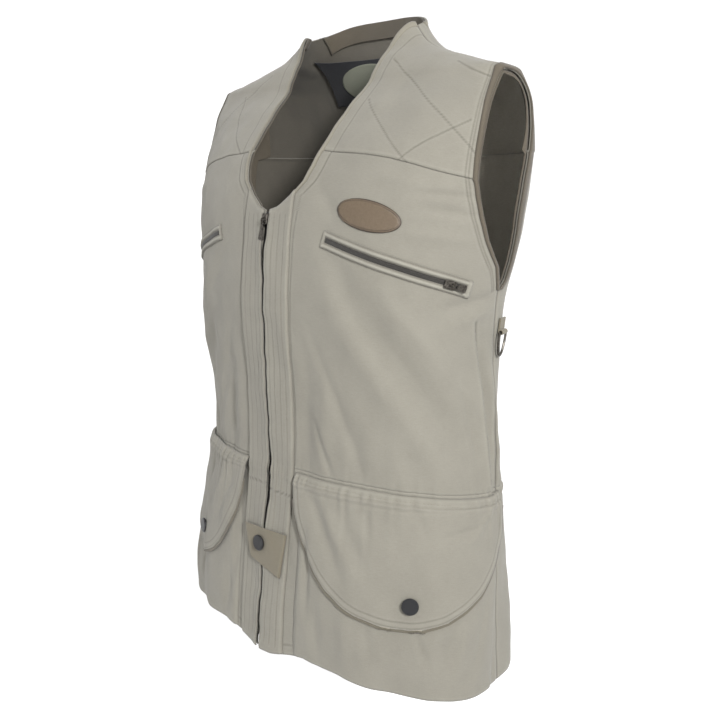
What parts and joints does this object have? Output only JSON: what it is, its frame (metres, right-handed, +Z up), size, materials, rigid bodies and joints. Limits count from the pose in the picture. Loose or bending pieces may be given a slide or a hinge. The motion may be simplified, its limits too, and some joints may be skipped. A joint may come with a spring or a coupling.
{
  "type": "hunting vest",
  "caption": "Worn-shape sleeveless vest with a V neck, a full front zip, slanted chest zips, flap pockets at the hip and a metal ring under one arm.",
  "frame": {"origin": "middle of the neck opening at the height of the shoulders' neck points, where the wearer holds it", "axes": "+Z up, front faces -Y, the wearer's left is +X"},
  "size_m": [0.4361, 0.2374, 0.6806],
  "materials": {
    "twill": "washed cotton twill, sand",
    "facing": "dark taupe facing tape",
    "label": "woven label, navy, bare",
    "leather": "brown leather with a stitched edge",
    "coil": "dark zip coil and tape",
    "webbing": "ribbed tape",
    "snap": "dark navy cap",
    "metal": "dark antique metal"
  },
  "bodies": {
    "vest": {"front_left": "twill", "front_right": "twill", "yoke_left": "twill", "yoke_right": "twill", "yoke_back": "twill", "back": "twill", "skirt_front_left": "twill", "skirt_front_right": "twill", "skirt_back": "twill", "placket_left": "twill", "placket_right": "twill", "pocket_left": "twill", "pocket_right": "twill", "flap_left": "twill", "flap_right": "twill", "welt_left": "twill", "welt_right": "twill", "neck_facing": "facing", "neck_binding_left": "facing", "neck_binding_right": "facing", "armhole_facing_left": "facing", "armhole_facing_right": "facing", "neck_label": "label", "leather_patch": "leather", "zip_tape": "coil", "zip_coil": "coil", "chest_zip_left": "coil", "chest_zip_right": "coil", "front_tab": "webbing", "ring_loop": "webbing", "snap_flap_left": "snap", "snap_flap_right": "snap", "snap_tab": "snap", "front_slider": "metal", "chest_slider_left": "metal", "chest_slider_right": "metal"},
    "front_pull": {"front_pull": "metal"},
    "chest_pull_left": {"chest_pull_left": "metal"},
    "chest_pull_right": {"chest_pull_right": "metal"},
    "d_ring": {"d_ring": "metal"}
  },
  "joints": [
    {"name": "front_pull_swing", "type": "hinge", "parent": "vest", "child": "front_pull", "pos_m": [0.00617, -0.12545, -0.19819], "axis": [-0.9783, 0.0209, 0.2062], "range_deg": [0, 165]},
    {"name": "chest_pull_left_swing", "type": "hinge", "parent": "vest", "child": "chest_pull_left", "pos_m": [0.19727, -0.05529, -0.25176], "axis": [-0.2645, -0.1607, -0.9509], "range_deg": [0, 165]},
    {"name": "chest_pull_right_swing", "type": "hinge", "parent": "vest", "child": "chest_pull_right", "pos_m": [-0.19727, -0.05529, -0.25176], "axis": [-0.2645, 0.1607, 0.9509], "range_deg": [0, 165]},
    {"name": "d_ring_swing", "type": "hinge", "parent": "vest", "child": "d_ring", "pos_m": [0.19762, 0.02172, -0.30045], "axis": [0.3381, -0.9411, 0], "range_deg": [0, 120]}
  ]
}
